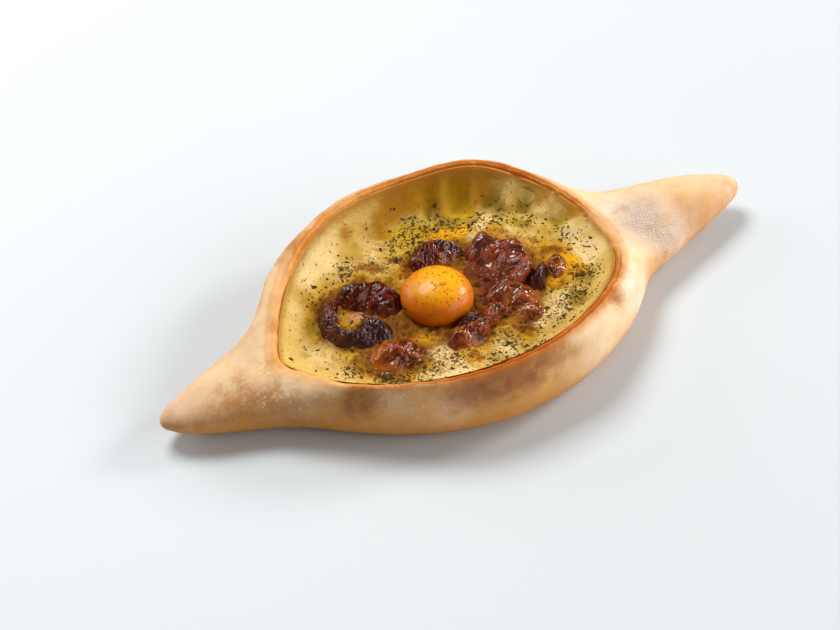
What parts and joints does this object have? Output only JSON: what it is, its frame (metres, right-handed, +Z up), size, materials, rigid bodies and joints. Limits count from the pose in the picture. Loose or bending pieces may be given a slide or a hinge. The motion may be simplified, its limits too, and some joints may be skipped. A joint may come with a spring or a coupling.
{
  "type": "khachapuri",
  "caption": "Boat-shaped baked cheese bread with pointed grips, filled with melted cheese and topped with an egg yolk, roasted tomato and dried herbs.",
  "frame": {"origin": "the middle of the bread's length and width, on the flat base that it rests on", "axes": "+X runs along the boat towards its longer grip, +Y across it towards the higher side of the rim, +Z up"},
  "size_m": [0.32, 0.148, 0.0425],
  "materials": {
    "crust": "floury baked dough, browned in patches",
    "cheese": "melted cheese with browned spots and dried herbs",
    "yolk": "glossy, just set",
    "tomato": "glossy wrinkled skin",
    "charred_tomato": "burnt and wrinkled",
    "amber_tomato": "translucent, oily"
  },
  "bodies": {
    "root": {"bread": "crust", "cheese": "cheese", "yolk": "yolk", "tomato_back": "tomato", "tomato_back_right": "tomato", "tomato_right": "tomato", "tomato_front_right": "tomato", "tomato_under_yolk": "charred_tomato", "tomato_left": "tomato", "tomato_left_curl": "charred_tomato", "tomato_front_left": "amber_tomato", "tomato_charred_leaf": "charred_tomato", "tomato_far_right": "amber_tomato"}
  },
  "joints": []
}
